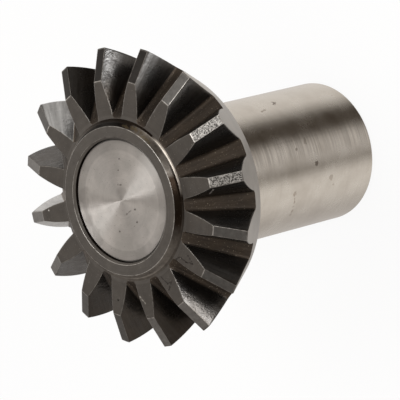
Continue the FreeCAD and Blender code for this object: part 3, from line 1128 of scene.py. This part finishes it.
    def lined(self, shade: Shade, split: bpy.types.NodeOutputs, colour: Socket,
              lines: Socket) -> Socket:
        """Darken and lighten the colour along the tool marks, more so inside the patch.

        Args:
            shade: The material's nodes.
            split: The three object coordinates.
            colour: Colour of the surface.
            lines: Noise along the tool marks, 0 to 1.

        Returns:
            The colour.
        """
        swing = shade.ranged(lines, NOISE_SPAN, (-1.0, 1.0))
        depth = self.line_tone
        if self.patch_tone:
            bearing = shade.calc("ARCTAN2", split[1], split[0])
            off = shade.calc("SUBTRACT", bearing, math.radians(self.patch_at))
            depth = shade.ranged(shade.calc("ABSOLUTE", off), PATCH_FADE,
                                 (self.patch_tone, self.line_tone), "SMOOTHSTEP")
        gain = shade.calc("MULTIPLY_ADD", swing, depth, 1.0)
        return shade.vector("SCALE", colour, scale=gain)

    def banded(self, shade: Shade, flat: Socket, colour: Socket) -> Socket:
        """Step the colour at each radius of the bands, outwards from the axis.

        Args:
            shade: The material's nodes.
            flat: Object coordinates without their height.
            colour: Colour of the surface.

        Returns:
            The colour.
        """
        radius = shade.vector("LENGTH", flat)
        for start, tone in self.bands:
            low, high = start - BAND_FADE_MM, start + BAND_FADE_MM
            band = shade.ranged(radius, (low * METRES_PER_MM, high * METRES_PER_MM), (1.0, tone))
            colour = shade.vector("SCALE", colour, scale=band)
        return colour


# Bright nicks, dark dirt and fine cracks on the toe faces.
TOE_MARKS = (
    *strokes(((-30.8, 22.2), (-30.6, 22.5)), TOE_MM, 0.35, "dedbd6", 0.9),
    *strokes(((-21.3, -25.5), (-21.0, -27.1), (-20.9, -29.5)), TOE_MM, 0.3, "b5b0a8", 0.5, 0.8),
    *strokes(((-30.1, -20.2), (-30.0, -20.4)), TOE_MM, 0.4, "15110e", 1.0),
    *strokes(((0.4, -28.9), (4.4, -30.2), (5.2, -33.2), (7.1, -35.8), (7.6, -32.5)),
             TOE_MM, 0.28, "120e0b", 0.55, 0.8),
    *strokes(((-8.0, -28.2), (-7.3, -32.4), (-4.7, -32.8), (-8.6, -34.1)),
             TOE_MM, 0.28, "120e0b", 0.55, 0.8))
# The burr that a planing stroke left bright on one flank.
BURR_MARKS = (Mark((33.3, -25.1, 102.2), (29.2, -24.0, 100.3), 0.3, "f2efea", 1.0),)
# Nicks and faint rust on the ground journal.
HUB_MARKS = (
    Mark((23.2, 9.4, 34.9), (22.9, 10.0, 33.6), 0.7, "4b3a2c", 0.75, 0.9),
    Mark((24.1, 6.6, 44.0), (23.9, 7.3, 41.5), 0.5, "6b5a49", 0.5, 0.9),
    Mark((22.7, -10.5, 39.2), (22.3, -11.2, 39.0), 0.8, "7c746b", 0.75, 0.8),
    Mark((23.5, -8.6, 33.8), (23.1, -9.6, 34.4), 0.6, "8b8379", 0.5, 0.9),
    Mark((19.2, -16.0, 31.3), (18.8, -16.5, 31.0), 0.7, "574c41", 0.7, 0.8),
    Mark((12.5, -21.7, 42.7), (3.7, -24.7, 41.2), 0.5, "8b7f72", 0.6, 1.2),
    Mark((14.0, -20.7, 23.6), (12.4, -21.7, 21.7), 0.8, "8f8579", 0.5, 1.0))
# Tempering stains round the boss.
BOSS_MARKS = (
    *strokes(((21.5, 15.6), (24.3, 10.8)), 105.0, 0.6, "6e6048", 0.4, 1.4),
    *strokes(((24.3, 10.8), (26.2, 4.6)), 104.8, 0.7, "75684f", 0.4, 1.4),
    *strokes(((25.6, 7.3), (26.3, 3.7)), 105.2, 0.5, "80724f", 0.45, 1.5),
    *strokes(((23.0, 13.3), (25.6, 7.3)), 104.3, 0.4, "665a46", 0.4, 1.5))
# Pits, scratches and pale or dull stains on the disc.
DISC_MARKS = (
    *strokes(((10.6, 9.9),), DISC_MM, 0.4, "2b2622", 0.9),
    *strokes(((-0.4, -9.6),), DISC_MM, 0.4, "5a534d"),
    *strokes(((7.1, 7.9), (7.3, 7.8)), DISC_MM, 0.35, "4a443f"),
    *strokes(((2.2, -6.0), (2.4, -6.3)), DISC_MM, 0.4, "4a443f"),
    *strokes(((-9.3, -6.2), (-9.0, -6.3)), DISC_MM, 0.35, "5a534d", 0.7),
    *strokes(((4.2, 3.6), (3.0, 4.7)), DISC_MM, 0.3, "6a635d", 0.7),
    *strokes(((-2.0, -4.6), (0.5, -5.2)), DISC_MM, 0.3, "77706a", 0.6),
    *strokes(((-12.2, 14.5), (-17.5, 6.4)), DISC_MM, 2.4, "8f8a85", 0.3, 0.8),
    *strokes(((-17.5, 6.4), (-18.6, -2.6)), DISC_MM, 2.2, "8f8a85", 0.3, 0.8),
    *strokes(((-8.5, -16.0), (0.5, -18.1), (9.5, -15.5)), DISC_MM, 2.6, "e6e1dc", 0.2, 0.8),
    *strokes(((1.5, 1.0),), DISC_MM, 2.6, "a39e99", 0.3))

FORGING_FINISHES = {
    # Case-hardened steel, turned after hardening: smooth, satin, warm grey.
    Region.FACE: SteelFinish(
        "turned_hardened_steel", "332e29", "3c3630", roughness=0.42, shine_mm=3.0, shine_spread=0.12,
        line_mm=0.35, line_tone=0.05, line_bump=0.02, speck_share=0.27, marks=TOE_MARKS),
    # The planed flank keeps its dark heat-treatment skin and a film of oil; its bright colour,
    # where a flank's shine is high, is partly rubbed metal and partly a painted reflection.
    Region.FLANK: SteelFinish(
        "oiled_planed_steel", "201a14", "2e261d", bright="cfd0d0", bright_rough=0.3, metallic=0.9,
        roughness=0.28, rough_spread=0.12, grain_mm=0.6, grain_bump=0.45, shine_mm=2.4,
        shine_spread=0.35, shine_lines=True, line_mm=0.5, line_tone=0.08, line_bump=0.1,
        line_run=12.0, planed=True, wave_mm=3.4, wave_bump=0.15, marks=BURR_MARKS),
    # The root is rough from the cutter and dark brown with scale.
    Region.ROOT: SteelFinish(
        "scaled_root_steel", "1f1812", "2e2419", bright="9f9182", metallic=0.7, roughness=0.5,
        grain_bump=0.3, shine_mm=1.2, shine_spread=0.45, shine_lines=True, line_mm=0.5, line_tone=0.12,
        line_bump=0.1, line_run=10.0, planed=True, speck="8d8374", speck_share=0.3),
    # Top lands: turned, mid grey, with faint rubbing and painted highlights that differ by tooth.
    Region.LAND: SteelFinish(
        "turned_land_steel", "1f1d1b", "282523", roughness=0.42, grain_bump=0.2, shine_mm=1.5,
        shine_spread=0.2, line_mm=0.4, line_tone=0.05),
    # Heel cone and hub end: turned bright, with fine rings and a painted highlight round the heel's
    # rim.
    Region.HEEL: SteelFinish(
        "machined_heel_steel", "8a8783", "a5a29d", bright="eeebe6", roughness=0.4, shine_mm=0.8,
        shine_spread=0.1, line_mm=0.3, line_tone=0.05, line_bump=0.05),
    # Edges rubbed bright by handling.
    Region.EDGE: SteelFinish(
        "worn_edge_steel", "2e2b28", "4a4641", bright="f0ebe4", blotch_mm=3.0, shine_mm=1.5,
        shine_spread=0.6),
    # The boss's wall is stained brown; its glints by bearing are painted highlights.
    Region.BOSS: SteelFinish(
        "stained_boss_steel", "16110d", "211a14", bright="cfc6bb", roughness=0.34, shine_mm=2.0,
        shine_spread=0.25, line_mm=0.3, line_tone=0.06, line_bump=0.04, speck="6a6258",
        speck_share=0.26, marks=BOSS_MARKS),
    # Ground journal: bright, with fine lines round the axis.
    Region.HUB: SteelFinish(
        "ground_journal_steel", "b6b0a7", "c8c3bb", roughness=0.25, blotch_mm=11.0,
        grain_bump=0.04, line_mm=0.8, line_tone=0.02, line_bump=0.03, line_run=25.0,
        patch_at=-24.0, patch_tone=0.2, speck="9a9187", speck_mm=0.6, speck_share=0.23,
        anisotropy=0.5, marks=HUB_MARKS),
    # The splined bore is oiled and dark.
    Region.BORE: SteelFinish(
        "oiled_bore_steel", "1f1a16", "362e28", roughness=0.5, grain_bump=0.2),
    # Two lands rubbed through to bright, grainy metal.
    Region.RUBBED: SteelFinish(
        "rubbed_land_steel", "1f1d1b", "282523", roughness=0.42, grain_bump=0.35, shine_mm=0.5,
        shine_spread=0.9, shine_softness=0.07),
}
# The closing disc is turned mild steel: pale satin with very fine rings.
DISC_FINISH = SteelFinish(
    "turned_disc_steel", "bdb9b4", "cfcac5", roughness=0.58, blotch_mm=7.0, line_mm=0.35,
    # The band at 20.95 mm darkens the rim's bevel down into the gap round the seat: painted shade.
    line_tone=0.035, line_bump=0.02, line_run=60.0, bands=((5.4, 1.03), (17.6, 0.87), (20.95, 0.4)),
    speck="8d867f", speck_mm=0.45, speck_share=0.27, anisotropy=1.0, marks=DISC_MARKS)


@dataclass(frozen=True)
class Lamp:
    """A square softbox a metre from the aim: bearing and elevation in degrees, side in metres."""

    name: str
    bearing: float
    elevation: float
    side: float
    watts: float

    def hang(self, aim: Vector) -> None:
        """Hang the lamp so that it faces the aim.

        Args:
            aim: Point in metres.
        """
        turn, rise = math.radians(self.bearing), math.radians(self.elevation)
        away = Vector((math.cos(turn) * math.cos(rise), math.sin(turn) * math.cos(rise),
                       math.sin(rise)))
        place = aim + away
        data = bpy.data.lights.new(self.name, "AREA")
        data.size, data.energy = self.side, self.watts
        lamp = bpy.data.objects.new(self.name, data)
        lamp.location = place
        lamp.rotation_euler = (place - aim).to_track_quat("Z", "Y").to_euler()
        bpy.context.scene.collection.objects.link(lamp)


@dataclass
class Studio:
    """Pale floor, soft lamps and the camera at the photograph's angle; lengths in metres.

    The surround gives the brightness of the softboxes and of the gaps between them, by compass
    bearing round the gear (degrees from +X). Only polished metal shows it.
    """

    camera_at: Point = (0.730014, -0.452238, 0.939648)
    right: Point = (0.46052558, -0.57095215, -0.6796542)
    up: Point = (0.65491606, 0.7353939, -0.17401368)
    lens_mm: float = 314.5
    sensor_mm: float = 36.0
    clip: tuple[float, float] = (0.05, 20.0)
    aim: Point = (0.0, 0.0, 0.06)
    lamps: tuple[Lamp, ...] = (
        Lamp("overhead_softbox", 36.0, 68.0, 0.5, 3.0),
        Lamp("far_softbox", 134.0, 24.0, 0.3, 0.6),
        Lamp("near_softbox", -24.0, 14.0, 0.3, 4.0))
    surround: tuple[tuple[float, str], ...] = (
        (-180, PALE), (-140, PALE), (-105, SOFTBOX), (-75, SOFTBOX), (-55, DIM), (-40, PALE),
        (-15, PALE), (5, DARK), (30, DARK), (60, SOFTBOX), (110, SOFTBOX), (150, PALE),
        (180, PALE))
    floor_reach: float = 6.0
    floor_gap: float = 0.0002
    floor_glow: float = 0.9

    def build(self) -> None:
        """Set up the camera, the floor, the world and the lamps."""
        scene = bpy.context.scene
        scene.view_settings.view_transform = "Standard"
        right, up = Vector(self.right).normalized(), Vector(self.up).normalized()
        turn = Matrix((right, up, right.cross(up))).transposed().to_4x4()
        data = bpy.data.cameras.new("photo_camera")
        data.lens, data.sensor_width = self.lens_mm, self.sensor_mm
        data.clip_start, data.clip_end = self.clip
        camera = bpy.data.objects.new("photo_camera", data)
        camera.matrix_world = Matrix.Translation(self.camera_at) @ turn
        scene.collection.objects.link(camera)
        scene.camera = camera
        self.floor()
        self.world(scene)
        for lamp in self.lamps:
            lamp.hang(Vector(self.aim))

    def floor(self) -> None:
        """Lay the pale floor that the gear stands on; it reads as white to the camera."""
        mesh = bpy.data.meshes.new("studio_floor")
        signs = ((-1, -1), (1, -1), (1, 1), (-1, 1))
        mesh.from_pydata([(x * self.floor_reach, y * self.floor_reach, -self.floor_gap)
                          for x, y in signs], [], [(0, 1, 2, 3)])
        floor = bpy.data.objects.new("studio_floor", mesh)
        bpy.context.scene.collection.objects.link(floor)
        floor.visible_glossy = False
        material = bpy.data.materials.new("pale_floor")
        shade = Shade.of(material)
        tree = shade.tree
        seen = add(tree, "ShaderNodeLightPath").outputs
        both = shade.calc("MAXIMUM", seen["Is Camera Ray"], seen["Is Glossy Ray"])
        either = shade.calc("MAXIMUM", both, seen["Is Transmission Ray"])
        share = shade.calc("MULTIPLY", either, self.floor_glow)
        matte = add(tree, "ShaderNodeBsdfDiffuse", inputs={"Color": linear("f4f4f4")}).outputs[0]
        glow = add(tree, "ShaderNodeEmission", inputs={"Color": linear("ffffff")}).outputs[0]
        mixed = add(tree, "ShaderNodeMixShader", inputs={0: share, 1: matte, 2: glow}).outputs[0]
        add(tree, "ShaderNodeOutputMaterial", inputs={0: mixed})
        mesh.materials.append(material)

    def world(self, scene: bpy.types.Scene) -> None:
        """Surround the gear with softboxes that fade into each other by compass bearing.

        Args:
            scene: The scene that gets the surround.
        """
        world = bpy.data.worlds.new("studio_world")
        shade = Shade.of(world)
        tree = shade.tree
        way = add(tree, "ShaderNodeTexCoord").outputs["Generated"]
        split = add(tree, "ShaderNodeSeparateXYZ", inputs={0: way}).outputs
        bearing = shade.calc("ARCTAN2", split[1], split[0])
        share = shade.calc("MULTIPLY_ADD", bearing, 0.5 / math.pi, 0.5)
        ramp = add(tree, "ShaderNodeValToRGB", inputs={0: share})
        stops = ramp.color_ramp.elements
        stops[0].color, stops[1].color = (linear(self.surround[k][1]) for k in (0, -1))
        for degrees, colour in self.surround[1:-1]:
            stops.new(degrees / 360 + 0.5).color = linear(colour)
        seen = add(tree, "ShaderNodeLightPath").outputs["Is Camera Ray"]
        colour = shade.mixed(seen, ramp.outputs[0], linear("ffffff"))
        light = add(tree, "ShaderNodeBackground", inputs={0: colour}).outputs[0]
        add(tree, "ShaderNodeOutputWorld", inputs={0: light})
        scene.world = world


def make_forging() -> bpy.types.Object:
    """Build the one-piece forging from its teeth, boss, bore and hub.

    Returns:
        The forging with its materials.
    """
    teeth = ToothRing()
    patches, corners, front_ring, rear_ring = teeth.build()
    lead = teeth.bevel_rows + teeth.root_rows // 2
    patches += HubAndBoss().build(front_ring, rear_ring, lead)
    piece = mesh_object("gear_forging", patches, corners)
    for region in Region:
        piece.data.materials.append(FORGING_FINISHES[region].build())
    return piece


def main() -> None:
    """Build the studio, the forging and the disc, and tie each piece to the CAD model."""
    logging.basicConfig(level=logging.INFO, format="%(name)s %(message)s")
    Studio().build()
    forging = make_forging()
    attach(forging, "root")
    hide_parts("side_gear")
    disc = ClosingDisc().build()
    disc.data.materials.append(DISC_FINISH.build())
    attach(disc, "root")
    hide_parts("bore_plug")


if __name__ == "__main__":
    main()
